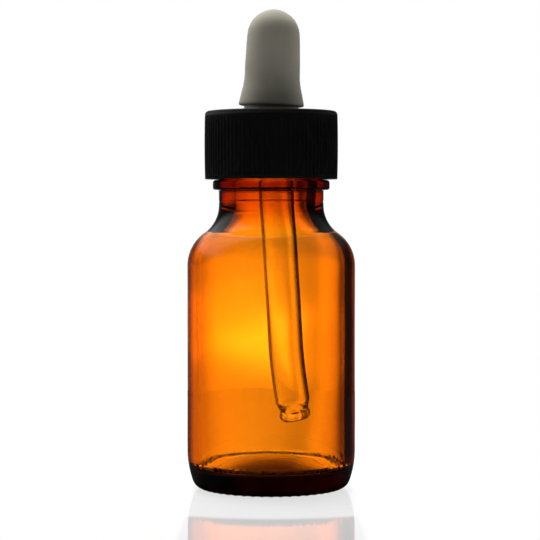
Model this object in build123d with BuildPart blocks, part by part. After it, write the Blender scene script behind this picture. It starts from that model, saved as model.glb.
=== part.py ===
from build123d import *
import os
from math import acos, asin, cos, degrees, radians, sin

os.makedirs("parts", exist_ok=True)

# An amber glass dropper bottle, in millimetres. The base stands on Z = 0, the
# bottle's axis is Z, and the glass pipette leans in the XZ plane.

# Glass bottle: body
body_r = 16.5
body_wall = 2.0
shoulder_z = 43.8  # top of the straight wall
shoulder_arc = 7.9  # convex curve outside
root_arc = 6.6  # concave curve into the neck outside
inner_drop = 1.8  # the inner wall starts to close this far below the outer one
inner_shoulder_arc = 9.0
inner_root_arc = 12.5

# Glass bottle: heel, base and floor
heel_z = 7.5  # the wall starts to tuck in here
heel_arc = 18.0
parting_z = 1.6  # joint of the body mould and the base plate
bearing_outer_r = 13.7
bearing_inner_r = 12.2
punt_rise = 1.8
floor_z = 4.2
floor_crown = 1.5
floor_corner = 1.4

# Glass bottle: neck, transfer bead and finish
finish_r = 10.0  # plain cylinder under the thread
finish_wall = 3.1
neck_step = 0.3  # the neck below the bead is this much wider
neck_length = 2.9  # straight part below the bead
bead_reach = 1.5
bead_height = 1.8
bead_round = 0.6
finish_height = 10.9
rim_round = 0.7

# Rubber bulb
flange_inset = 0.1  # the flange is this much smaller than the rim
flange_height = 1.2
throat_wall = 1.5  # rubber around the pipette in the cap's hole
lip_reach = 1.0
lip_height = 0.45
groove_depth = 0.65
groove_height = 0.5
skirt_reach = 0.45
skirt_edge = 0.3  # depth of the skirt's rounded lower edge
skirt_rise = 5.6  # from the skirt's edge up to the barrel
barrel_inset = 1.0  # the barrel is this much narrower than the skirt
barrel_taper = 0.25
barrel_height = 9.2
dome_height = 4.4
dome_pull = 0.5523  # the curve's handles, as shares that draw a quarter ellipse
bulb_wall = 1.3
throat_height = 3.6  # the throat grips the pipette up to here, above the cap
bulb_lean = 1.9  # degrees, towards +X

# Screw cap
thread_room = 1.2  # between the neck's plain cylinder and the cap's
cap_barrel = 0.1  # the wall swells by this at mid height
cap_wall = 1.8
cap_top = 1.5
cap_edge = 0.7
cap_bead_gap = 0.35
rib_count = 90
rib_depth = 0.22
rib_width = 0.5
rib_top_margin = 1.0
rib_bottom_margin = 0.5
cap_inner_round = 0.5

# Glass pipette
pipette_r = 3.45
pipette_wall = 0.55
pipette_lean = 3.6  # degrees, its lower end towards +X
pipette_insert = 4.3  # above the cap's top, inside the bulb
tip_clearance = 7.6  # from the floor's crown up to the middle of the tip's end
bend_radius = 110.0
bend_angle = 6.0  # degrees
taper_length = 2.2
pinch_r = 2.85
tip_r = 3.1
tip_height = 2.1
tip_bore_r = 1.9

# Clearances
seat_gap = 0.05  # between the flange and the faces that clamp it
hole_gap = 0.1  # radial, around the waist and lip side of the cap's hole
throat_gap = 0.03  # radial, around the pipette in the bulb's throat

# Radii that fit each other
bore_r = finish_r - finish_wall
neck_r = finish_r + neck_step
bead_r = finish_r + bead_reach
cap_bore_r = finish_r + thread_room
cap_r = cap_bore_r + cap_wall
flange_r = finish_r - flange_inset
waist_r = pipette_r + throat_wall
lip_r = waist_r + lip_reach
groove_r = lip_r - groove_depth
skirt_r = lip_r + skirt_reach
barrel_r = skirt_r - barrel_inset
barrel_top_r = barrel_r - barrel_taper

# Heights up the stack
root_turn = acos(1 - (body_r - neck_r) / (shoulder_arc + root_arc))
neck_z = shoulder_z + (shoulder_arc + root_arc) * sin(root_turn)
bead_z = neck_z + neck_length
finish_z = bead_z + bead_height
rim_z = finish_z + finish_height
flange_z = rim_z + seat_gap
cap_inside_z = flange_z + flange_height + seat_gap
cap_top_z = cap_inside_z + cap_top
cap_bottom_z = finish_z + cap_bead_gap
lip_z = cap_top_z + seat_gap
groove_z = lip_z + lip_height
skirt_z = groove_z + groove_height

# Glass bottle: a turned wall with a mushroomed base
heel_turn = asin((heel_z - parting_z) / heel_arc)
inner_r = body_r - body_wall
inner_z = shoulder_z - inner_drop
inner_turn = acos(1 - (inner_r - bore_r) / (inner_shoulder_arc + inner_root_arc))
punt_arc = (bearing_inner_r**2 + punt_rise**2) / (2 * punt_rise)
crown_arc = (inner_r**2 + floor_crown**2) / (2 * floor_crown)

with BuildPart() as bottle:
    with BuildSketch(Plane.XZ):
        with BuildLine():
            wall = Line((body_r, heel_z), (body_r, shoulder_z))
            convex = JernArc(wall @ 1, (0, 1), shoulder_arc, degrees(root_turn))
            concave = JernArc(convex @ 1, convex % 1, root_arc, -degrees(root_turn))
            Polyline(
                concave @ 1,
                (neck_r, bead_z),
                (bead_r, bead_z),
                (bead_r, finish_z),
                (finish_r, finish_z),
                (finish_r, rim_z),
                (0, rim_z),
                (0, punt_rise),
            )
            RadiusArc((0, punt_rise), (bearing_inner_r, 0), punt_arc)
            Line((bearing_inner_r, 0), (bearing_outer_r, 0))
            heel = JernArc(wall @ 0, (0, -1), heel_arc, -degrees(heel_turn))
            TangentArc(heel @ 1, (bearing_outer_r, 0), tangent=heel % 1)
        make_face()
    revolve(axis=Axis.Z)
    bead_edges = bottle.edges().filter_by(GeomType.CIRCLE)
    fillet([e for e in bead_edges if abs(e.radius - bead_r) < 0.01], bead_round)
    with BuildSketch(Plane.XZ):
        with BuildLine():
            inner_wall = Line((inner_r, floor_z), (inner_r, inner_z))
            shut = JernArc(inner_wall @ 1, (0, 1), inner_shoulder_arc, degrees(inner_turn))
            open_up = JernArc(shut @ 1, shut % 1, inner_root_arc, -degrees(inner_turn))
            Polyline(open_up @ 1, (bore_r, rim_z), (0, rim_z), (0, floor_z + floor_crown))
            RadiusArc((0, floor_z + floor_crown), (inner_r, floor_z), crown_arc)
        hollow = make_face()
        corner = hollow.vertices().sort_by_distance(Vector(inner_r, 0, floor_z))[0]
        fillet(corner, floor_corner)
    revolve(axis=Axis.Z, mode=Mode.SUBTRACT)
    rim_edges = bottle.edges().filter_by(GeomType.CIRCLE).group_by(Axis.Z)[-1]
    fillet(rim_edges, rim_round)
bottle.part.label = "bottle"
export_step(bottle.part, "parts/bottle.step")

# Screw cap: a barrelled skirt with fine upright ribs and a hole for the bulb
cap_height = cap_top_z - cap_bottom_z
cap_middle_z = cap_bottom_z + cap_height / 2
hole_r = waist_r + hole_gap

with BuildPart() as cap:
    with BuildSketch(Plane.XZ):
        with BuildLine():
            ThreePointArc(
                (cap_r, cap_bottom_z),
                (cap_r + cap_barrel, cap_middle_z),
                (cap_r, cap_top_z),
            )
            Polyline(
                (cap_r, cap_top_z),
                (hole_r, cap_top_z),
                (hole_r, cap_inside_z),
                (cap_bore_r, cap_inside_z),
                (cap_bore_r, cap_bottom_z),
                (cap_r, cap_bottom_z),
            )
        make_face()
    revolve(axis=Axis.Z)
    cap_circles = cap.edges().filter_by(GeomType.CIRCLE)
    fillet([e for e in cap_circles.group_by(Axis.Z)[-1] if e.radius > bead_r], cap_edge)
    inside_corner = [e for e in cap_circles if abs(e.radius - cap_bore_r) < 0.01]
    fillet(sorted(inside_corner, key=lambda e: e.center().Z)[-1], cap_inner_round)
    with BuildSketch(Plane.XY.offset(cap_bottom_z + rib_bottom_margin)):
        with PolarLocations(cap_r + cap_barrel - rib_depth, rib_count):
            Polygon(
                (0, 0),
                (2 * rib_depth, rib_width),
                (2 * rib_depth, -rib_width),
                align=None,
            )
    extrude(
        amount=cap_height - cap_edge - rib_top_margin - rib_bottom_margin,
        mode=Mode.SUBTRACT,
    )
cap.part.label = "cap"
export_step(cap.part, "parts/cap.step")

# Lines that the bulb and the pipette stand on, both through the cap's top
pivot = Vector(0, 0, cap_top_z)
lean = radians(pipette_lean)
pipette_down = Vector(sin(lean), 0, -cos(lean))
bulb_tilt = radians(bulb_lean)
bulb_plane = Plane(
    origin=(0, 0, skirt_z),
    x_dir=(cos(bulb_tilt), 0, -sin(bulb_tilt)),
    z_dir=(0, -1, 0),
)
bulb_axis = Axis((0, 0, skirt_z), (sin(bulb_tilt), 0, cos(bulb_tilt)))

# Rubber bulb: a flange and waist that hold the cap, and a hollow teat
dome_z = skirt_rise + barrel_height
cavity_z = throat_height - (skirt_z - cap_top_z)
cavity_r = barrel_r - bulb_wall
cavity_top_r = barrel_top_r - bulb_wall
cavity_dome = dome_height - bulb_wall
throat_reach = max(throat_height, pipette_insert) + pipette_r * sin(lean + bulb_tilt)

with BuildPart() as bulb:
    with BuildSketch(Plane.XZ):
        with BuildLine():
            Polyline(
                (0, flange_z),
                (flange_r, flange_z),
                (flange_r, flange_z + flange_height),
                (waist_r, flange_z + flange_height),
                (waist_r, lip_z),
                (lip_r, lip_z),
                (lip_r, groove_z),
                (groove_r, groove_z),
                (groove_r, skirt_z + skirt_edge),
                (0, skirt_z + skirt_edge),
                close=True,
            )
        make_face()
    revolve(axis=Axis.Z)
    with BuildSketch(bulb_plane):
        with BuildLine():
            Line((0, 0), (skirt_r - skirt_edge, 0))
            RadiusArc((skirt_r - skirt_edge, 0), (skirt_r, skirt_edge), -skirt_edge)
            Spline(
                (skirt_r, skirt_edge),
                (barrel_r, skirt_rise),
                tangents=[(0, 1), (0, 1)],
            )
            Line((barrel_r, skirt_rise), (barrel_top_r, dome_z))
            Bezier(
                (barrel_top_r, dome_z),
                (barrel_top_r, dome_z + dome_pull * dome_height),
                (dome_pull * barrel_top_r, dome_z + dome_height),
                (0, dome_z + dome_height),
            )
            Line((0, dome_z + dome_height), (0, 0))
        make_face()
    revolve(axis=bulb_axis)
    with BuildSketch(bulb_plane):
        with BuildLine():
            Polyline(
                (0, cavity_z),
                (cavity_r, cavity_z),
                (cavity_r, skirt_rise),
                (cavity_top_r, dome_z),
            )
            Bezier(
                (cavity_top_r, dome_z),
                (cavity_top_r, dome_z + dome_pull * cavity_dome),
                (dome_pull * cavity_top_r, dome_z + cavity_dome),
                (0, dome_z + cavity_dome),
            )
            Line((0, dome_z + cavity_dome), (0, cavity_z))
        make_face()
    revolve(axis=bulb_axis, mode=Mode.SUBTRACT)
    throat_top = pivot - pipette_down * throat_reach
    with BuildSketch(Plane(origin=throat_top, z_dir=pipette_down)):
        Circle(pipette_r + throat_gap)
    extrude(amount=throat_reach + pivot.Z - flange_z + pipette_r, mode=Mode.SUBTRACT)
bulb.part.label = "bulb"
export_step(bulb.part, "parts/bulb.step")

# Glass pipette: a leaning tube with a bent, fire-polished tip
pipette_bore_r = pipette_r - pipette_wall
tip_end = taper_length + tip_height
tip_lean = lean + radians(bend_angle)
bend_drop = bend_radius * (sin(tip_lean) - sin(lean))
tip_end_z = floor_z + floor_crown + tip_clearance
straight_drop = cap_top_z - bend_drop - tip_end * cos(tip_lean) - tip_end_z
shank_length = straight_drop / cos(lean)  # from the cap's top to the bend

with BuildPart() as pipette:
    with BuildLine(Plane.XZ) as tube_path:
        top = pivot - pipette_down * pipette_insert
        bend = pivot + pipette_down * shank_length
        shank = Line((top.X, top.Z), (bend.X, bend.Z))
        JernArc(shank @ 1, shank % 1, bend_radius, bend_angle)
    with BuildSketch(Plane(origin=tube_path.line @ 0, z_dir=tube_path.line % 0)):
        Circle(pipette_r)
        Circle(pipette_bore_r, mode=Mode.SUBTRACT)
    sweep(path=tube_path.line)
    tip_start = tube_path.line @ 1
    tip_way = tube_path.line % 1
    tip_plane = Plane(
        origin=tip_start, x_dir=(-tip_way.Z, 0, tip_way.X), z_dir=(0, 1, 0)
    )
    with BuildSketch(tip_plane):
        with BuildLine():
            Line((pipette_bore_r, 0), (pipette_r, 0))
            Spline(
                (pipette_r, 0),
                (pinch_r, taper_length),
                tangents=[(0, 1), (0, 1)],
            )
            ThreePointArc(
                (pinch_r, taper_length),
                (tip_r, taper_length + tip_height / 2),
                (pinch_r, tip_end),
            )
            Line((pinch_r, tip_end), (tip_bore_r, tip_end))
            Line((tip_bore_r, tip_end), (tip_bore_r, taper_length))
            Spline(
                (tip_bore_r, taper_length),
                (pipette_bore_r, 0),
                tangents=[(0, -1), (0, -1)],
            )
        make_face()
    revolve(axis=Axis(tip_start, tip_way))
pipette.part.label = "pipette"
export_step(pipette.part, "parts/pipette.step")
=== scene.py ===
from math import acos, asin, atan2, cos, e, hypot, pi, radians, sin, sqrt

import bpy
import bmesh
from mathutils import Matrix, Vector


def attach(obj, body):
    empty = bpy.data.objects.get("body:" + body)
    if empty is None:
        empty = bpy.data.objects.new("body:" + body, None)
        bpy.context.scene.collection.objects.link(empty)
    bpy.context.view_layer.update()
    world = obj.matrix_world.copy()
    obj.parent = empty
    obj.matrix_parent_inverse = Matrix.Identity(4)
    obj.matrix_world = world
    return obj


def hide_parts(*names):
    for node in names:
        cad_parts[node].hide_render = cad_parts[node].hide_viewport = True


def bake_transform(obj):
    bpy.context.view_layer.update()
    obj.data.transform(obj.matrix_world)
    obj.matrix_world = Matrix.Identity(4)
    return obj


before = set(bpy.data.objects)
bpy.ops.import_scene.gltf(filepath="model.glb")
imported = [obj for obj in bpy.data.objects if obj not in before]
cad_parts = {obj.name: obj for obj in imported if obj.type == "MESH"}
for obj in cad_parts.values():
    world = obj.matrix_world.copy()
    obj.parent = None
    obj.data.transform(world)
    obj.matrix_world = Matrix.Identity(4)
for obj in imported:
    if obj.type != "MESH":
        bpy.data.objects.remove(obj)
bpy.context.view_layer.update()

# All sizes up to the materials are in millimetres and become metres in the meshes.
MM = 0.001
TINY = 1e-6
SAME_POINT = 1e-4

# Glass bottle
body_r = 16.5
body_wall = 2.0
shoulder_z = 43.8
shoulder_arc = 7.9
root_arc = 6.6
inner_shoulder_arc = 7.0
inner_root_arc = 10.5
heel_z = 7.5
heel_arc = 18.0
parting_z = 1.6
bearing_outer_r = 13.7
bearing_inner_r = 12.2
punt_rise = 1.8
punt_steps = 18
floor_z = 3.4
floor_crown = 2.9
floor_corner = 1.2
floor_corner_gap = 0.1
floor_steps = 24
floor_aim_step = 4
neck_r = 10.3
bore_r = 6.9
bore_split = 4.0
neck_length = 2.9
bead_r = 11.5
bead_height = 1.8
bead_round = 0.55
bead_foot_round = 0.3
bead_lip = 0.2
finish_r = 10.0
finish_height = 10.9
finish_foot_round = 0.25
rim_round = 0.7
bottle_segments = 288

# Screw threads: the cap's lies half a pitch above the bottle's
thread_pitch = 3.2
thread_turns = 1.6
thread_start = 2.4
thread_fade = 0.06
thread_flank = 1.5
thread_depth = 0.62
thread_half = 0.85
thread_low_margin = 0.4
thread_high_margin = 0.8
cap_thread_depth = 0.34
cap_thread_half = 0.8
cap_thread_low_margin = 0.6
cap_thread_high_margin = 0.8

# Fine relief of the glass: knurl under the heel, mould line on the neck, crease inside
knurl_count = 48
knurl_depth = 0.3
knurl_r = bearing_outer_r + 0.1
knurl_half = 0.9
knurl_top_z = 0.9
mould_line_z = 56.35
mould_line_depth = 0.07
mould_line_half = 0.3
crease_z = 49.4
crease_depth = 0.05
crease_half = 0.5
swell_depth = 0.02
outer_swell = {"low": heel_z, "high": shoulder_z, "low_fade": 4.0, "high_fade": 4.0, "seed": 0.4}
inner_swell = {"low": floor_z + 2.5, "high": 56.0, "low_fade": 6.0, "high_fade": 8.0, "seed": 2.1}
# Reach of the painted edge shade on the bottle's outside: it fades out just under skin_top_z,
# over skin_fade
skin_top_z = 50.0
skin_fade = 1.5

# Rubber bulb
flange_r = 9.9
flange_height = 1.2
flange_round = 0.2
flange_root_round = 0.1
waist_r = 4.95
waist_round = 0.05
lip_r = 5.95
lip_height = 0.45
lip_low_round = 0.1
lip_top_round = 0.12
groove_r = 5.3
groove_height = 0.5
groove_round = 0.08
skirt_overlap = 0.02
mouth_wide = 0.7
mouth_narrow = 0.5
mouth_depth = 0.5
throat_height = 3.6
throat_start = 0.9
throat_end = 4.7
throat_steps = 8
cavity_r = 4.1
cavity_low_r = 3.8
cavity_rise = 2.0
cavity_foot = 0.3
cavity_widens = 1.2
cavity_top_r = 3.85
cavity_middle = 9.0
cavity_top = 14.8
dome_height = 2.8
dome_steps = 8
bulb_lean = radians(1.9)
bulb_segments = 144

# Screw cap
cap_r = 13.0
cap_barrel = 0.1
cap_bore_r = 11.2
cap_top = 1.5
cap_edge = 0.7
cap_bead_gap = 0.35
cap_rim_round = 0.15
cap_mouth_round = 0.25
cap_inner_round = 0.5
cap_steps = 30
hole_top_round = 0.2
hole_low_round = 0.1
rib_count = 90
rib_depth = 0.2
rib_fade = 0.4
rib_flank = 4
rib_flat = 0.2
rib_top_margin = 1.7
rib_bottom_margin = 0.5
cap_segments = 540

# Glass pipette
pipette_r = 3.45
pipette_wall = 0.55
pipette_lean = radians(3.6)
pipette_insert = 4.3
pipette_steps = 60
cut_edge = 0.2
cut_turn = 0.06
bend_radius = 110.0
bend_angle = radians(6.0)
taper_length = 2.2
taper_steps = 9
pinch_r = 2.85
tip_r = 3.1
tip_height = 2.1
tip_steps = 10
tip_flare_rate = 1.25
tip_close = 0.75
tip_close_from = 0.6
tip_bore_r = 1.9
tip_bore_dip = 0.25
tip_bore_steps = 8
tip_bore_flare = 0.06
tip_bore_edge = 0.02
tip_clearance = 7.0
pipette_segments = 96

# Gaps between pieces, and slack for finding a surface or joining two runs
seat_gap = 0.05
hole_gap = 0.1
throat_gap = 0.03
slack = 0.01
bore_slack = 0.05

# Heights up the stack
root_turn = acos(1 - (body_r - neck_r) / (shoulder_arc + root_arc))
neck_z = shoulder_z + (shoulder_arc + root_arc) * sin(root_turn)
bead_z = neck_z + neck_length
finish_z = bead_z + bead_height
rim_z = finish_z + finish_height
flange_z = rim_z + seat_gap
cap_inside_z = flange_z + flange_height + seat_gap
cap_top_z = cap_inside_z + cap_top
cap_bottom_z = finish_z + cap_bead_gap
lip_z = cap_top_z + seat_gap
groove_z = lip_z + lip_height
skirt_z = groove_z + groove_height


# Profile helpers: every profile is a list of (r, z) points
def arc(centre, radius, start, end, count):
    """Points on an arc; angles in radians from the +r direction."""
    points = []
    for k in range(count + 1):
        a = start + (end - start) * k / count
        points.append((centre[0] + radius * cos(a), centre[1] + radius * sin(a)))
    return points


def short_arc(centre, radius, first, last, count):
    """Points on the shorter arc about centre from first to last."""
    start = atan2(first[1] - centre[1], first[0] - centre[0])
    end = atan2(last[1] - centre[1], last[0] - centre[0])
    if end - start > pi:
        end -= 2 * pi
    if start - end > pi:
        end += 2 * pi
    return arc(centre, radius, start, end, count)


def line(a, b, step=0.5):
    """Evenly spaced points from a to b."""
    count = max(1, round(hypot(b[0] - a[0], b[1] - a[1]) / step))
    return [
        (a[0] + (b[0] - a[0]) * k / count, a[1] + (b[1] - a[1]) * k / count)
        for k in range(count + 1)
    ]


def tangent_arc(a, direction, b, count):
    """Points on the arc that leaves a along direction and ends at b."""
    cx, cz = b[0] - a[0], b[1] - a[1]
    nx, nz = -direction[1], direction[0]
    radius = (cx * cx + cz * cz) / (2 * (cx * nx + cz * nz))
    centre = (a[0] + nx * radius, a[1] + nz * radius)
    return short_arc(centre, abs(radius), a, b, count)


def corner(a, p, b, radius, count=4):
    """Points that round the corner p between a and b."""
    ux, uz = a[0] - p[0], a[1] - p[1]
    vx, vz = b[0] - p[0], b[1] - p[1]
    lu, lv = hypot(ux, uz), hypot(vx, vz)
    ux, uz, vx, vz = ux / lu, uz / lu, vx / lv, vz / lv
    half = acos(max(-1.0, min(1.0, ux * vx + uz * vz))) / 2
    reach = radius / max(TINY, sin(half) / cos(half))
    start = (p[0] + ux * reach, p[1] + uz * reach)
    end = (p[0] + vx * reach, p[1] + vz * reach)
    bx, bz = ux + vx, uz + vz
    lb = hypot(bx, bz)
    away = radius / sin(half)
    centre = (p[0] + bx / lb * away, p[1] + bz / lb * away)
    return short_arc(centre, radius, start, end, count)


def rounded(points, step):
    """A polyline of (r, z, corner radius) with its runs divided and corners rounded."""
    out = []
    for i, (r, z, radius) in enumerate(points):
        if radius > 0 and 0 < i < len(points) - 1:
            out.append(corner(points[i - 1][:2], (r, z), points[i + 1][:2], radius))
        else:
            out.append([(r, z)])
    path = list(out[0])
    for piece in out[1:]:
        path += line(path[-1], piece[0], step)[1:]
        path += piece[1:]
    return path


def join(*runs):
    """One profile from runs that meet end to end."""
    path = []
    for run in runs:
        for p in run:
            if not path or hypot(p[0] - path[-1][0], p[1] - path[-1][1]) > SAME_POINT:
                path.append(p)
    return path


def smooth(t):
    """0 below t = 0, 1 above t = 1, and an even rise between."""
    t = max(0.0, min(1.0, t))
    return t * t * (3 - 2 * t)


def bump(t):
    """1 at t = 0, falling smoothly to 0 at |t| = 1."""
    return smooth(1 - abs(t))


def dome(r, arc_r, height):
    """Height at r of a shallow dome of the given height, cut from a sphere of radius arc_r."""
    return sqrt(arc_r**2 - r**2) - (arc_r - height)


def dome_arc(half_width, height):
    """Radius of the arc that rises by height over half_width."""
    return (half_width**2 + height**2) / (2 * height)


def ring_mesh(name, rings, segments, shape=None, loop=False, skin=None):
    """A closed skin over rings of (r, x, z, tilt); shape(i, angle, r, z) adds (dr, dz).

    skin(i, z) marks, from 0 to 1, the outer skin that carries the glass material's painted edge
    shade.
    """
    verts, faces, rows = [], [], []
    for i, (r, x, z, tilt) in enumerate(rings):
        if r < TINY:
            rows.append([len(verts)])
            verts.append((x * MM, 0.0, z * MM))
            continue
        row = []
        for k in range(segments):
            a = 2 * pi * k / segments
            dr, dz = shape(i, a, r, z) if shape else (0.0, 0.0)
            u = (r + dr) * cos(a)
            v = (r + dr) * sin(a)
            row.append(len(verts))
            px = x + u * cos(tilt) + dz * sin(tilt)
            pz = z - u * sin(tilt) + dz * cos(tilt)
            verts.append((px * MM, v * MM, pz * MM))
        rows.append(row)
    pairs = list(zip(rows, rows[1:]))
    if loop:
        pairs.append((rows[-1], rows[0]))
    for p, q in pairs:
        for k in range(segments):
            n = (k + 1) % segments
            if len(p) == 1:
                faces.append((p[0], q[n], q[k]))
            elif len(q) == 1:
                faces.append((p[k], p[n], q[0]))
            else:
                faces.append((p[k], p[n], q[n], q[k]))
    mesh = bpy.data.meshes.new(name)
    mesh.from_pydata(verts, [], faces)
    bm = bmesh.new()
    bm.from_mesh(mesh)
    bmesh.ops.recalc_face_normals(bm, faces=bm.faces)
    bm.to_mesh(mesh)
    bm.free()
    mesh.shade_smooth()
    if skin:
        marks = []
        for i, row in enumerate(rows):
            marks += [skin(i, rings[i][2])] * len(row)
        mesh.attributes.new("edge_shade_skin", "FLOAT", "POINT").data.foreach_set("value", marks)
    obj = bpy.data.objects.new(name, mesh)
    bpy.context.scene.collection.objects.link(obj)
    return obj


def upright(profile):
    """Rings about the bottle's own axis."""
    return [(r, 0.0, z, 0.0) for r, z in profile]


def thread(a, z, first_z, half, depth):
    """Height of a screw thread's ridge at the angle a and the height z."""
    ridge = 0.0
    for turn in (0, 1):
        total = a / (2 * pi) + turn
        if total < thread_turns:
            crest = first_z + thread_pitch * total
            fade = smooth(total / thread_fade) * smooth((thread_turns - total) / thread_fade)
            ridge += depth * fade * smooth((1 - abs(z - crest) / half) * thread_flank)
    return ridge


# Slow waves of the blown wall: share, lobes round the wall, twist with height, phase
WAVES = [(0.40, 2, 0.13, 1.0), (0.35, 3, -0.31, 1.7), (0.25, 1, 0.47, 2.3)]


def wall_swell(a, z, low, high, low_fade, high_fade, seed):
    """Unevenness of the blown wall, fading in above low and out below high."""
    rise = smooth((z - low) / low_fade) * smooth((high - z) / high_fade)
    wave = sum(
        share * sin(lobes * a + twist * z + phase * seed) for share, lobes, twist, phase in WAVES
    )
    return swell_depth * rise * wave


# Bottle: outside from the middle of the base up to the rim
heel_turn = asin((heel_z - parting_z) / heel_arc)
parting_r = body_r - heel_arc * (1 - cos(heel_turn))
punt_arc = dome_arc(bearing_inner_r, punt_rise)
punt = []
for k in range(punt_steps + 1):
    r = bearing_inner_r * k / punt_steps
    punt.append((r, dome(r, punt_arc, punt_rise)))
bearing = line((bearing_inner_r, 0), (bearing_outer_r, 0), step=0.25)
under_heel = tangent_arc(
    (parting_r, parting_z),
    (-sin(heel_turn), -cos(heel_turn)),
    (bearing_outer_r, 0),
    count=12,
)[::-1]
heel = arc((body_r - heel_arc, heel_z), heel_arc, -heel_turn, 0, count=24)
wall = line((body_r, heel_z), (body_r, shoulder_z), step=1.0)
convex = arc((body_r - shoulder_arc, shoulder_z), shoulder_arc, 0, root_turn, count=26)
concave = arc((neck_r + root_arc, neck_z), root_arc, pi + root_turn, pi, count=22)
bore_split_z = neck_z + bore_split
neck = rounded(
    [
        (neck_r, neck_z, 0),
        (neck_r, bead_z, bead_foot_round),
        (bead_r, bead_z, bead_round),
        (bead_r, finish_z + bead_lip, bead_round),
        (finish_r, finish_z + bead_lip, finish_foot_round),
        (finish_r, rim_z, rim_round),
        (bore_r, rim_z, rim_round),
        (bore_r, bore_split_z, 0),
    ],
    step=0.22,
)

# Bottle: inside from the bore down to the middle of the floor
inner_r = body_r - body_wall
inner_turn = acos(1 - (inner_r - bore_r) / (inner_shoulder_arc + inner_root_arc))
open_z = shoulder_z + (inner_shoulder_arc + inner_root_arc) * sin(inner_turn)
bore_run = line((bore_r, bore_split_z), (bore_r, open_z), step=0.6)
open_centre = (bore_r + inner_root_arc, open_z)
open_up = arc(open_centre, inner_root_arc, pi, pi + inner_turn, count=30)
shut_centre = (inner_r - inner_shoulder_arc, shoulder_z)
shut = arc(shut_centre, inner_shoulder_arc, inner_turn, 0, count=30)
inside_wall = line((inner_r, shoulder_z), (inner_r, floor_z + floor_corner), step=1.0)
crown_arc = dome_arc(inner_r, floor_crown)
floor_points = []
for k in range(floor_steps + 1):
    r = inner_r * (floor_steps - k) / floor_steps
    floor_points.append((r, dome(r, crown_arc, floor_crown) + floor_z))
floor_aim = floor_points[floor_aim_step]
floor_bend = corner((inner_r, shoulder_z), (inner_r, floor_z), floor_aim, floor_corner, count=10)
floor_run = [p for p in floor_points if p[0] < floor_bend[-1][0] - floor_corner_gap]

bottle_profile = join(
    punt, bearing, under_heel, heel, wall, convex, concave, neck,
    bore_run, open_up, shut, inside_wall, floor_bend, floor_run,
)
rim_index = max(range(len(bottle_profile)), key=lambda i: bottle_profile[i][1])
thread_low_z = finish_z + thread_low_margin
thread_high_z = rim_z - thread_high_margin
thread_z = finish_z + thread_start


def bottle_shape(i, a, r, z):
    dr, dz = 0.0, 0.0
    if i < rim_index:
        if z < knurl_top_z:
            band = bump((r - knurl_r) / knurl_half)
            dz += knurl_depth * band * (0.5 - 0.5 * cos(knurl_count * a))
        if thread_low_z < z < thread_high_z and r < (bead_r + neck_r) / 2:
            dr += thread(a, z, thread_z, thread_half, thread_depth)
        dr += wall_swell(a, z, **outer_swell)
        dr -= mould_line_depth * bump((z - mould_line_z) / mould_line_half)
    elif r > bore_r - slack:
        dr += wall_swell(a, z, **inner_swell)
        dr += crease_depth * bump((z - crease_z) / crease_half)
    return dr, dz


# Mask of the painted edge shade: the bottle's outside below skin_top_z
def bottle_skin(i, z):
    return smooth((skin_top_z - z) / skin_fade) if i < rim_index else 0.0


bottle = ring_mesh(
    "amber_bottle", upright(bottle_profile), bottle_segments, bottle_shape, skin=bottle_skin
)

# Cap: one closed loop round its wall
cap_height = cap_top_z - cap_bottom_z
cap_middle_z = cap_bottom_z + cap_height / 2
hole_r = waist_r + hole_gap
barrel_arc = dome_arc(cap_height / 2, cap_barrel)
cap_outer = []
for k in range(cap_steps + 1):
    z = cap_bottom_z + cap_rim_round + (cap_height - cap_rim_round - cap_edge) * k / cap_steps
    cap_outer.append((cap_r + dome(z - cap_middle_z, barrel_arc, cap_barrel), z))
cap_rest = rounded(
    [
        (cap_r, cap_top_z - cap_edge - slack, 0),
        (cap_r, cap_top_z, cap_edge),
        (hole_r, cap_top_z, hole_top_round),
        (hole_r, cap_inside_z, hole_low_round),
        (cap_bore_r, cap_inside_z, cap_inner_round),
        (cap_bore_r, cap_bottom_z, cap_mouth_round),
        (cap_r, cap_bottom_z, cap_rim_round),
        (cap_r, cap_bottom_z + cap_rim_round + slack, 0),
    ],
    step=0.3,
)
cap_profile = join(cap_outer, cap_rest[1:-1])
rib_low_z = cap_bottom_z + rib_bottom_margin
rib_high_z = cap_top_z - rib_top_margin
rib_rings = len(cap_outer) + 2
cap_thread_low_z = cap_bottom_z + cap_thread_low_margin
cap_thread_high_z = cap_inside_z - cap_thread_high_margin
cap_thread_z = thread_z + thread_pitch / 2


def cap_shape(i, a, r, z):
    dr = 0.0
    if i < rib_rings and r > cap_r - rib_depth:
        ends = smooth((z - rib_low_z) / rib_fade) * smooth((rib_high_z - z) / rib_fade)
        off_groove = abs((a * rib_count / (2 * pi) + 0.5) % 1 - 0.5)
        dr -= rib_depth * ends * (1 - smooth(off_groove * rib_flank - rib_flat))
    elif abs(r - cap_bore_r) < bore_slack and cap_thread_low_z < z < cap_thread_high_z:
        dr -= thread(a, z, cap_thread_z, cap_thread_half, cap_thread_depth)
    return dr, 0.0


cap = ring_mesh("ribbed_cap", upright(cap_profile), cap_segments, cap_shape, loop=True)

# Bulb: outline along its own leaning axis, as (height above the skirt's edge, r)
bulb_outline = [
    (18.95, 0.0), (18.9, 0.62), (18.74, 1.3), (18.46, 2.05), (18.1, 2.72), (17.7, 3.27),
    (17.25, 3.76), (16.75, 4.18), (16.2, 4.52), (15.6, 4.79), (14.9, 5.0), (14.1, 5.12),
    (13.0, 5.2), (11.0, 5.28), (9.0, 5.36), (7.4, 5.4), (6.2, 5.41), (5.25, 5.45), (5.0, 5.49),
    (4.4, 5.56), (3.6, 5.7), (3.35, 5.76), (2.6, 5.93), (1.9, 6.08), (1.2, 6.24), (0.65, 6.36),
    (0.3, 6.4), (0.12, 6.33), (0.02, 6.2), (0.0, 6.05),
]


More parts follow.
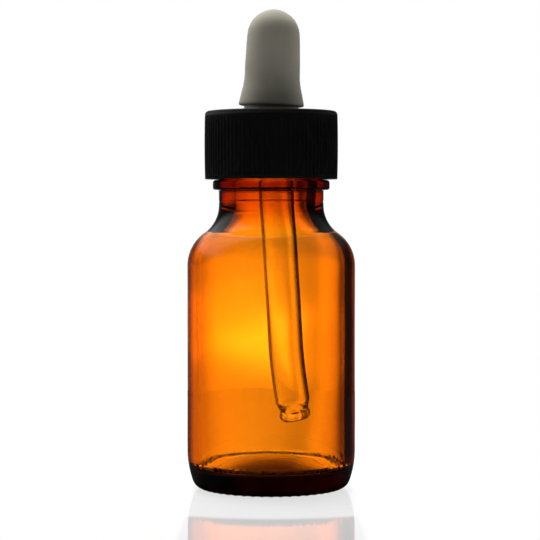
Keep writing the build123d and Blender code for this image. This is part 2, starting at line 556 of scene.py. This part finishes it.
def through_points(points, per_span):
    """A smooth run through the given points, with per_span steps between two of them."""
    out = []
    for i in range(len(points) - 1):
        around = (
            points[max(0, i - 1)],
            points[i],
            points[i + 1],
            points[min(len(points) - 1, i + 2)],
        )
        for k in range(per_span):
            t = k / per_span
            out.append(tuple(blend_four(t, *values) for values in zip(*around)))
    out.append(points[-1])
    return out


def blend_four(t, a, b, c, d):
    """The value at t between b and c on a smooth curve through a, b, c and d."""
    straight = (c - a) * t
    square = (2 * a - 5 * b + 4 * c - d) * t * t
    cube = (3 * b - a - 3 * c + d) * t**3
    return 0.5 * (2 * b + straight + square + cube)


def on_bulb(r, height):
    """A ring around the bulb's leaning axis."""
    return (r, height * sin(bulb_lean), skirt_z + height * cos(bulb_lean), bulb_lean)


def on_pipette(r, above):
    """A ring around the pipette's line, above (or below) the cap's top."""
    x = -above * sin(pipette_lean)
    return (r, x, cap_top_z + above * cos(pipette_lean), -pipette_lean)


bulb_rings = [on_bulb(r, h) for h, r in through_points(bulb_outline, per_span=3)]
flange_top_z = flange_z + flange_height
foot = rounded(
    [
        (groove_r, skirt_z - skirt_overlap, 0),
        (groove_r, groove_z, groove_round),
        (lip_r, groove_z, lip_top_round),
        (lip_r, lip_z, lip_low_round),
        (waist_r, lip_z, waist_round),
        (waist_r, flange_top_z, flange_root_round),
        (flange_r, flange_top_z, flange_round),
        (flange_r, flange_z, flange_round),
        (pipette_r + mouth_wide, flange_z, flange_round),
        (pipette_r + mouth_narrow, flange_z + mouth_depth, 0),
    ],
    step=0.4,
)
bulb_rings += upright(foot)
throat_low = flange_z - cap_top_z + throat_start
for k in range(throat_steps + 1):
    above = throat_low + (throat_end - throat_low) * k / throat_steps
    bulb_rings.append(on_pipette(pipette_r + throat_gap, above))
cavity_low = throat_height - (skirt_z - cap_top_z) + cavity_rise
bulb_rings += [
    on_bulb(cavity_low_r, cavity_low + cavity_foot),
    on_bulb(cavity_r, cavity_low + cavity_widens),
    on_bulb(cavity_r, cavity_middle),
    on_bulb(cavity_top_r, cavity_top),
]
for k in range(1, dome_steps):
    a = k / dome_steps * pi / 2
    bulb_rings.append(on_bulb(cavity_top_r * cos(a), cavity_top + dome_height * sin(a)))
bulb_rings.append(on_bulb(0.0, cavity_top + dome_height))
bulb = ring_mesh("rubber_bulb", bulb_rings, bulb_segments)

# Pipette: a leaning tube with a bend, a pinch and a fire-polished end
tip_end = taper_length + tip_height
tip_lean = pipette_lean + bend_angle
bend_drop = bend_radius * (sin(tip_lean) - sin(pipette_lean))
tip_end_z = floor_z + floor_crown + tip_clearance
shank_length = (cap_top_z - bend_drop - tip_end * cos(tip_lean) - tip_end_z) / cos(pipette_lean)
bend_length = bend_radius * bend_angle
tube_length = pipette_insert + shank_length + bend_length + tip_end


def tube_place(s):
    """Centre and tilt of the tube at the distance s from its upper end."""
    if s < pipette_insert + shank_length:
        d = s - pipette_insert
        return d * sin(pipette_lean), cap_top_z - d * cos(pipette_lean), -pipette_lean
    x = shank_length * sin(pipette_lean)
    z = cap_top_z - shank_length * cos(pipette_lean)
    a = pipette_lean + min((s - pipette_insert - shank_length) / bend_radius, bend_angle)
    x += bend_radius * (cos(pipette_lean) - cos(a))
    z -= bend_radius * (sin(a) - sin(pipette_lean))
    rest = max(0.0, s - pipette_insert - shank_length - bend_length)
    return x + rest * sin(a), z - rest * cos(a), -a


tube_bore = pipette_r - pipette_wall
taper_s = tube_length - tip_end
tip_s = taper_s + taper_length
straight = [cut_edge + (taper_s - cut_edge) * k / pipette_steps for k in range(pipette_steps + 1)]

# Outside from the upper end to the tip, as (r, distance from the upper end)
outer_run = [(pipette_r - cut_edge, 0.0), (pipette_r - cut_turn, cut_turn)]
outer_run += [(pipette_r, s) for s in straight]
for k in range(1, taper_steps + 1):
    t = k / taper_steps
    outer_run.append((pipette_r + (pinch_r - pipette_r) * smooth(t), taper_s + taper_length * t))
for k in range(1, tip_steps + 1):
    t = k / tip_steps
    flare = (tip_r - pinch_r) * sin(pi * min(1.0, t * tip_flare_rate))
    turned = max(0.0, (t - tip_close_from) / (1 - tip_close_from))
    close = tip_close * (1 - sqrt(max(0.0, 1 - turned**2)))
    outer_run.append((pinch_r + flare - close, tip_s + tip_height * t))

# Inside from the tip back to the upper end
inner_run = [(tip_bore_r + tip_bore_flare, tube_length - tip_bore_edge)]
for k in range(1, tip_bore_steps + 1):
    t = k / tip_bore_steps
    inner_run.append((tip_bore_r - tip_bore_dip * t * (1 - t), tube_length - tip_height * t))
for k in range(1, taper_steps + 1):
    t = k / taper_steps
    r = tip_bore_r + (tube_bore - tip_bore_r) * smooth(t)
    inner_run.append((r, taper_s + taper_length * (1 - t)))
inner_run += [(tube_bore, s) for s in straight[-2::-1]]
inner_run += [(tube_bore + cut_turn, cut_turn), (tube_bore + cut_edge, 0.0)]


# Mask of the painted edge shade: the whole outside of the tube
def pipette_skin(i, z):
    return 1.0 if i < len(outer_run) else 0.0


pipette_rings = [(r, *tube_place(s)) for r, s in outer_run + inner_run]
pipette = ring_mesh(
    "glass_pipette", pipette_rings, pipette_segments, loop=True, skin=pipette_skin
)

# Sockets of a mix node that are found by their place
MIX_FACTOR = 0
MIX_NUMBER_A = 2
MIX_NUMBER_B = 3
MIX_COLOUR_A = 6
MIX_COLOUR_B = 7
MIX_COLOUR_RESULT = 2

WHITE = (1, 1, 1, 1)


# Shader helpers: inputs and factors are constants or the outputs of other nodes
def add_node(tree, kind, inputs=None, **settings):
    """A new node with its settings, constants and links."""
    node = tree.nodes.new(kind)
    for name, value in settings.items():
        setattr(node, name, value)
    for socket, value in (inputs or {}).items():
        if isinstance(value, bpy.types.NodeSocket):
            tree.links.new(value, node.inputs[socket])
        else:
            node.inputs[socket].default_value = value
    return node


def add_math(tree, operation, a, b=None, clamp=False):
    inputs = {0: a} if b is None else {0: a, 1: b}
    settings = {"operation": operation, "use_clamp": clamp}
    return add_node(tree, "ShaderNodeMath", inputs, **settings).outputs[0]


def add_noise(tree, scale, detail, stretch=None):
    """Noise on the object's own coordinates; returns its factor."""
    place = add_node(tree, "ShaderNodeTexCoord").outputs["Object"]
    if stretch:
        mapping = add_node(tree, "ShaderNodeMapping", {"Vector": place, "Scale": stretch})
        place = mapping.outputs["Vector"]
    inputs = {"Vector": place, "Scale": scale, "Detail": detail}
    return add_node(tree, "ShaderNodeTexNoise", inputs).outputs["Fac"]


def add_bump(tree, height, distance, strength=0.5):
    inputs = {"Height": height, "Distance": distance, "Strength": strength}
    return add_node(tree, "ShaderNodeBump", inputs).outputs["Normal"]


def map_range(tree, value, source, target):
    """The value moved from the source span to the target span, and held at its ends."""
    inputs = {
        "Value": value,
        "From Min": source[0],
        "From Max": source[1],
        "To Min": target[0],
        "To Max": target[1],
    }
    return add_node(tree, "ShaderNodeMapRange", inputs).outputs["Result"]


def value_ramp(tree, factor, stops):
    """A number from a number: stops are (place from 0 to 1, value)."""
    node = add_node(tree, "ShaderNodeValToRGB", {"Fac": factor})
    node.color_ramp.interpolation = "EASE"
    elements = node.color_ramp.elements
    while len(elements) > 1:
        elements.remove(elements[-1])
    for k, (place, value) in enumerate(stops):
        element = elements[0] if k == 0 else elements.new(place)
        element.position = place
        element.color = (value, value, value, 1)
    return node.outputs["Color"]


def angle_ramp(tree, angle, span, stops):
    """Brightness by an angle: stops are (degrees from -span to span, value)."""
    factor = map_range(tree, angle, (-radians(span), radians(span)), (0.0, 1.0))
    return value_ramp(tree, factor, [(a / (2 * span) + 0.5, v) for a, v in stops])


def mix_shaders(tree, factor, a, b):
    return add_node(tree, "ShaderNodeMixShader", {0: factor, 1: a, 2: b}).outputs[0]


def new_material(name):
    mat = bpy.data.materials.new(name)
    mat.use_nodes = True
    mat.node_tree.nodes.clear()
    return mat, mat.node_tree


# Materials
GLASS_IOR = 1.51
GLASS_SWELL_SCALE = 90.0
GLASS_SWELL_DETAIL = 2.0
GLASS_SWELL_STRETCH = (1, 1, 0.5)
GLASS_SWELL_HEIGHT = 0.00004
NOISE_SPAN = (0.3, 0.7)


def glass_material(name, edge_shade_stops, density=0.0, tint=None):
    """Clear or tinted glass, with painted shade that darkens its outer skin where it is seen edge
    on.
    """
    mat, tree = new_material(name)
    # Painted edge shade: on the marked outer skin the glass colour darkens by Layer Weight
    # facing, where the glass is seen edge on
    facing = add_node(tree, "ShaderNodeLayerWeight", {"Blend": 0.5}).outputs["Facing"]
    skin = add_node(tree, "ShaderNodeAttribute", attribute_name="edge_shade_skin").outputs["Fac"]
    edge_inputs = {
        MIX_FACTOR: skin,
        MIX_COLOUR_A: WHITE,
        MIX_COLOUR_B: value_ramp(tree, facing, edge_shade_stops),
    }
    painted_edge_shade = add_node(tree, "ShaderNodeMix", edge_inputs, data_type="RGBA")
    uneven = add_noise(tree, GLASS_SWELL_SCALE, GLASS_SWELL_DETAIL, GLASS_SWELL_STRETCH)
    glass_inputs = {
        "Base Color": painted_edge_shade.outputs[MIX_COLOUR_RESULT],
        "Transmission Weight": 1.0,
        "IOR": GLASS_IOR,
        "Roughness": 0.0,
        "Normal": add_bump(tree, uneven, GLASS_SWELL_HEIGHT),
    }
    shader = add_node(tree, "ShaderNodeBsdfPrincipled", glass_inputs)
    out = add_node(tree, "ShaderNodeOutputMaterial", {"Surface": shader.outputs["BSDF"]})
    if density:
        volume_inputs = {"Color": tint, "Density": density}
        volume = add_node(tree, "ShaderNodeVolumeAbsorption", volume_inputs)
        tree.links.new(volume.outputs["Volume"], out.inputs["Volume"])
    return mat


def solid_material(
    name, tones, tone_span, wide, fine, rough_on, roughness, specular, relief, sheen=0.0
):
    """Two tones mottled by the wide noise, over the relief of the fine one.

    wide and fine are (scale, detail) and may add a stretch.
    """
    mat, tree = new_material(name)
    noise = {"wide": add_noise(tree, *wide), "fine": add_noise(tree, *fine)}
    shade = add_node(tree, "ShaderNodeValToRGB", {"Fac": noise["wide"]})
    for element, place, tone in zip(shade.color_ramp.elements, tone_span, tones):
        element.position = place
        element.color = (*tone, 1)
    inputs = {
        "Base Color": shade.outputs["Color"],
        "Roughness": map_range(tree, noise[rough_on], NOISE_SPAN, roughness),
        "Specular IOR Level": specular,
        "Sheen Weight": sheen,
        "Normal": add_bump(tree, noise["fine"], relief),
    }
    shader = add_node(tree, "ShaderNodeBsdfPrincipled", inputs)
    add_node(tree, "ShaderNodeOutputMaterial", {"Surface": shader.outputs["BSDF"]})
    return mat


# The edge stops are painted shade: glass colour by facing, darkest at the silhouettes
amber_glass = glass_material(
    "amber_glass",
    edge_shade_stops=[(0.60, 1.0), (0.68, 0.45), (0.75, 0.10), (0.9, 0.08)],
    density=1650.0,
    tint=(0.876, 0.661, 0.0, 1),
)
clear_glass = glass_material("clear_glass", edge_shade_stops=[(0.38, 0.95), (0.46, 0.06), (0.7, 0.02)])
black_plastic = solid_material(
    "black_plastic",
    tones=((0.0016, 0.0016, 0.0018), (0.0038, 0.0037, 0.0036)),
    tone_span=(0.0, 1.0),
    wide=(160.0, 4.0),
    fine=(2600.0, 3.0),
    rough_on="wide",
    roughness=(0.38, 0.5),
    specular=0.25,
    relief=0.00003,
)
grey_rubber = solid_material(
    "grey_rubber",
    tones=((0.172, 0.163, 0.128), (0.192, 0.178, 0.152)),
    tone_span=(0.3, 0.7),
    wide=(130.0, 3.0, (1, 1, 0.35)),
    fine=(1900.0, 4.0),
    rough_on="fine",
    roughness=(0.55, 0.7),
    specular=0.2,
    relief=0.00004,
    sheen=0.05,
)

for piece, mat, name in (
    (bottle, amber_glass, "amber_glass"),
    (pipette, clear_glass, "clear_glass"),
    (cap, black_plastic, "black_plastic"),
    (bulb, grey_rubber, "grey_rubber"),
):
    piece.data.materials.append(mat)

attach(bottle, "bottle")
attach(cap, "cap")
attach(pipette, "dropper")
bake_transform(bulb)
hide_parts("bottle")
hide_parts("cap")
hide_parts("pipette")
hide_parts("bulb")

# Surroundings, in metres and degrees: azimuth from +Y and positive towards +X,
# elevation above the horizon and level beyond its span
AZIMUTH_SPAN = 180
ELEVATION_SPAN = 30

# Backlit sweep that the glass shows, round the horizon and up it
SWEEP_STOPS = [
    (-180, 0.9), (-80, 0.9), (-62, 0.5), (-50, 0.8), (-39, 1.0), (-27, 1.1), (-17, 1.2),
    (-8, 1.35), (-4, 1.2), (-1, 1.05), (1, 0.95), (4, 0.78), (5.5, 0.85), (8, 1.35),
    (12, 1.2), (15, 0.9), (18, 0.35), (20.5, 0.05), (24, 0.01), (36, 0.01), (41, 0.03),
    (60, 0.03), (80, 0.9), (180, 0.9),
]
RISE_STOPS = [
    (-30, 0.92), (-6, 0.92), (-5, 0.95), (-3, 1.07), (-1.5, 1.0), (0, 0.72),
    (2, 0.85), (5, 1.15), (9, 1.2), (12, 1.3), (18, 1.1), (22, 0.65), (26, 0.4), (30, 0.15),
]
BACKLIGHT = 2.3

# Brighter glow low behind the bottle
GLOW_STOPS = [
    (-60, 0.0), (-39, 0.33), (-17, 0.4), (-12, 0.5), (-8, 0.67), (-4, 0.82), (-2, 0.92),
    (1, 1.0), (2.5, 0.75), (4, 0.28), (6, 0.13), (8, 0.05), (13, 0.0),
]
GLOW_ELEVATION = radians(-3.95)
GLOW_WIDTH = radians(0.75)
GLOW_LEVEL = 1.7

# What gloss mirrors: a narrow strip behind, and a panel high at the back and left
MIRROR_STOPS = [
    (-180, 0.015), (-40, 0.03), (-28, 0.05), (-16, 0.12), (-9, 0.5), (-5, 1.0),
    (5, 1.0), (9, 0.4), (16, 0.06), (22, 0.02), (180, 0.015),
]
PANEL_RISE_STOPS = [(-30, 0.0), (12, 0.0), (26, 1.0), (30, 1.0)]
PANEL_STOPS = [(-180, 0.0), (-110, 0.0), (-80, 0.6), (-5, 0.6), (15, 0.1), (180, 0.0)]

# Plain level for matt surfaces, and white for the camera
MATT_LEVEL = 0.22
CAMERA_LEVEL = 1.0

# Floor: a white disc that mirrors the bottle in front and carries the sweep into the glass, with
# painted shade round the bottle as seen through the glass and in gloss
FLOOR_RADIUS = 0.2
FLOOR_SEGMENTS = 96
FLOOR_DROP = 0.0001
FLOOR_COLOUR = (0.9, 0.9, 0.9, 1)
# Near-black of the painted shade that gloss sees on the floor
FLOOR_GLOSS_SHADE_COLOUR = (0.01, 0.01, 0.01, 1)
FLOOR_SIDE_SCALE = 0.92
FLOOR_AZIMUTH_Y = -0.030
FLOOR_GLASS_LEVEL = 2.0
# Span over which the painted shade round the bottle, seen through the glass, fades out
FLOOR_SHADE_FADE_SPAN = (0.028, 0.062)
FLOOR_DIRECT_SPAN = (0.020, 0.055)
FLOOR_DIRECT_SHARE = (0.9, 1.0)
FLOOR_GLOSS_ROUGHNESS = 0.06
GLEAM_REACH = 0.1
GLEAM_STOPS = [(0.0, 0.2), (0.36, 0.2), (0.40, 0.45), (0.6, 0.45), (0.9, 0.0)]
GLEAM_SIDE_SPAN = (0.0153, 0.0162)

floor_mesh = bpy.data.meshes.new("floor")
bm = bmesh.new()
bmesh.ops.create_circle(bm, cap_ends=True, segments=FLOOR_SEGMENTS, radius=FLOOR_RADIUS)
bm.to_mesh(floor_mesh)
bm.free()
floor = bpy.data.objects.new("floor", floor_mesh)
bpy.context.scene.collection.objects.link(floor)
floor.location.z = -FLOOR_DROP

floor_mat, tree = new_material("pale_floor")
rays = add_node(tree, "ShaderNodeLightPath").outputs
spot = add_node(tree, "ShaderNodeTexCoord").outputs["Object"]
axes = add_node(tree, "ShaderNodeSeparateXYZ", {0: spot}).outputs
away = add_node(tree, "ShaderNodeVectorMath", {0: spot}, operation="LENGTH").outputs["Value"]

# The sweep as seen through the glass
beside = add_math(tree, "MULTIPLY", axes["X"], FLOOR_SIDE_SCALE)
behind = add_math(tree, "SUBTRACT", axes["Y"], FLOOR_AZIMUTH_Y)
floor_azimuth = add_math(tree, "ARCTAN2", beside, behind)
floor_sweep = angle_ramp(tree, floor_azimuth, AZIMUTH_SPAN, SWEEP_STOPS)
level_inputs = {
    MIX_FACTOR: rays["Is Transmission Ray"],
    MIX_NUMBER_A: 1.0,
    MIX_NUMBER_B: add_math(tree, "MULTIPLY", floor_sweep, FLOOR_GLASS_LEVEL),
}
level = add_node(tree, "ShaderNodeMix", level_inputs, data_type="FLOAT").outputs[0]
white = add_node(tree, "ShaderNodeEmission", {"Strength": level}).outputs[0]

# Painted shade under and round the bottle: seen through the glass, the floor's white gives way to
# lamp-lit matt near the bottle; for the camera a tenth stays lamp-lit matt near it, where the
# lamps' real shadow shows
beyond_painted_shade = map_range(tree, away, FLOOR_SHADE_FADE_SPAN, (0.0, 1.0))
in_glass = add_math(tree, "MULTIPLY", rays["Is Transmission Ray"], beyond_painted_shade)
near = map_range(tree, away, FLOOR_DIRECT_SPAN, FLOOR_DIRECT_SHARE)
direct = add_math(tree, "MULTIPLY", rays["Is Camera Ray"], near)
white_share = add_math(tree, "MAXIMUM", in_glass, direct)
matte = add_node(tree, "ShaderNodeBsdfDiffuse", {"Color": FLOOR_COLOUR}).outputs[0]
pale = mix_shaders(tree, white_share, matte, white)

# Reflection of the bottle, for the camera alone
reach = map_range(tree, away, (0.0, GLEAM_REACH), (0.0, 1.0))
off_line = add_math(tree, "ABSOLUTE", axes["X"])
in_line = map_range(tree, off_line, GLEAM_SIDE_SPAN, (1.0, 0.0))
gleam_here = add_math(tree, "MULTIPLY", value_ramp(tree, reach, GLEAM_STOPS), in_line)
gleam = add_math(tree, "MULTIPLY", rays["Is Camera Ray"], gleam_here)
gloss_inputs = {"Roughness": FLOOR_GLOSS_ROUGHNESS}
gloss = add_node(tree, "ShaderNodeBsdfGlossy", gloss_inputs).outputs[0]
mirroring = mix_shaders(tree, gleam, pale, gloss)

# Painted shade: to glossy rays the floor is a near-black sheet, standing in for the floor in
# shade round the bottle
seen_ray = add_math(tree, "MAXIMUM", rays["Is Transmission Ray"], rays["Is Camera Ray"])
mirrored_ray = add_math(tree, "SUBTRACT", rays["Is Glossy Ray"], seen_ray, clamp=True)
painted_gloss_shade = add_node(tree, "ShaderNodeBsdfDiffuse", {"Color": FLOOR_GLOSS_SHADE_COLOUR}).outputs[0]
floor_surface = mix_shaders(tree, mirrored_ray, mirroring, painted_gloss_shade)
add_node(tree, "ShaderNodeOutputMaterial", {"Surface": floor_surface})
floor_mesh.materials.append(floor_mat)

# World
world = bpy.data.worlds.new("studio")
bpy.context.scene.world = world
world.use_nodes = True
tree = world.node_tree
tree.nodes.clear()
rays = add_node(tree, "ShaderNodeLightPath").outputs
direction = add_node(tree, "ShaderNodeTexCoord").outputs["Generated"]
axes = add_node(tree, "ShaderNodeSeparateXYZ", {0: direction}).outputs
azimuth = add_math(tree, "ARCTAN2", axes["X"], axes["Y"])
elevation = add_math(tree, "ARCSINE", axes["Z"])


def by_azimuth(stops):
    return angle_ramp(tree, azimuth, AZIMUTH_SPAN, stops)


def by_elevation(stops):
    return angle_ramp(tree, elevation, ELEVATION_SPAN, stops)


def background(strength):
    inputs = {"Color": WHITE, "Strength": strength}
    return add_node(tree, "ShaderNodeBackground", inputs).outputs[0]


# Sweep and glow for what is seen through glass
glow_z = add_math(tree, "SUBTRACT", elevation, GLOW_ELEVATION)
glow_z = add_math(tree, "DIVIDE", glow_z, GLOW_WIDTH)
glow_fall = add_math(tree, "MULTIPLY", add_math(tree, "MULTIPLY", glow_z, glow_z), -0.5)
glow_up = add_math(tree, "POWER", e, glow_fall)
glow = add_math(tree, "MULTIPLY", by_azimuth(GLOW_STOPS), glow_up)
glow = add_math(tree, "MULTIPLY", glow, GLOW_LEVEL)
sweep = add_math(tree, "MULTIPLY", by_azimuth(SWEEP_STOPS), by_elevation(RISE_STOPS))
through = add_math(tree, "MULTIPLY", add_math(tree, "ADD", sweep, glow), BACKLIGHT)

# Strip and panel for what gloss mirrors
panel = add_math(tree, "MULTIPLY", by_elevation(PANEL_RISE_STOPS), by_azimuth(PANEL_STOPS))
mirrored = add_math(tree, "ADD", by_azimuth(MIRROR_STOPS), panel)

sky = mix_shaders(tree, rays["Is Glossy Ray"], background(MATT_LEVEL), background(mirrored))
sky = mix_shaders(tree, rays["Is Transmission Ray"], sky, background(through))
sky = mix_shaders(tree, rays["Is Camera Ray"], sky, background(CAMERA_LEVEL))
add_node(tree, "ShaderNodeOutputWorld", {"Surface": sky})

# Lamps: soft panels above and at both sides behind, as name, place and energy
LAMP_SIZE = 0.3
LAMP_TARGET = Vector((0, 0, 0.06))
LAMPS = [
    ("key_top", (-0.04, 0.14, 0.55), 9.0),
    ("left_back", (-0.45, 0.20, 0.16), 2.4),
    ("right_back", (0.45, 0.24, 0.16), 1.3),
]
for name, place, energy in LAMPS:
    lamp = bpy.data.lights.new(name, "AREA")
    lamp.shape = "DISK"
    lamp.size = LAMP_SIZE
    lamp.energy = energy
    lamp_object = bpy.data.objects.new(name, lamp)
    lamp_object.location = place
    aim = (LAMP_TARGET - Vector(place)).to_track_quat("-Z", "Y")
    lamp_object.rotation_euler = aim.to_euler()
    lamp_object.visible_camera = False
    lamp_object.visible_glossy = False
    lamp_object.visible_transmission = False
    bpy.context.scene.collection.objects.link(lamp_object)

# Camera
CAMERA_PLACE = (-0.00024, -0.374, 0.0557)
CAMERA_TILT = radians(1.96)
CAMERA_LENS = 126.7
CAMERA_SENSOR = 36.0
CAMERA_CLIP = 0.01
camera_data = bpy.data.cameras.new("camera")
camera_data.lens = CAMERA_LENS
camera_data.sensor_width = CAMERA_SENSOR
camera_data.sensor_fit = "HORIZONTAL"
camera_data.clip_start = CAMERA_CLIP
camera = bpy.data.objects.new("camera", camera_data)
camera.location = CAMERA_PLACE
camera.rotation_euler = (pi / 2 - CAMERA_TILT, 0, 0)
bpy.context.scene.collection.objects.link(camera)
bpy.context.scene.camera = camera

bpy.context.scene.view_settings.view_transform = "Standard"
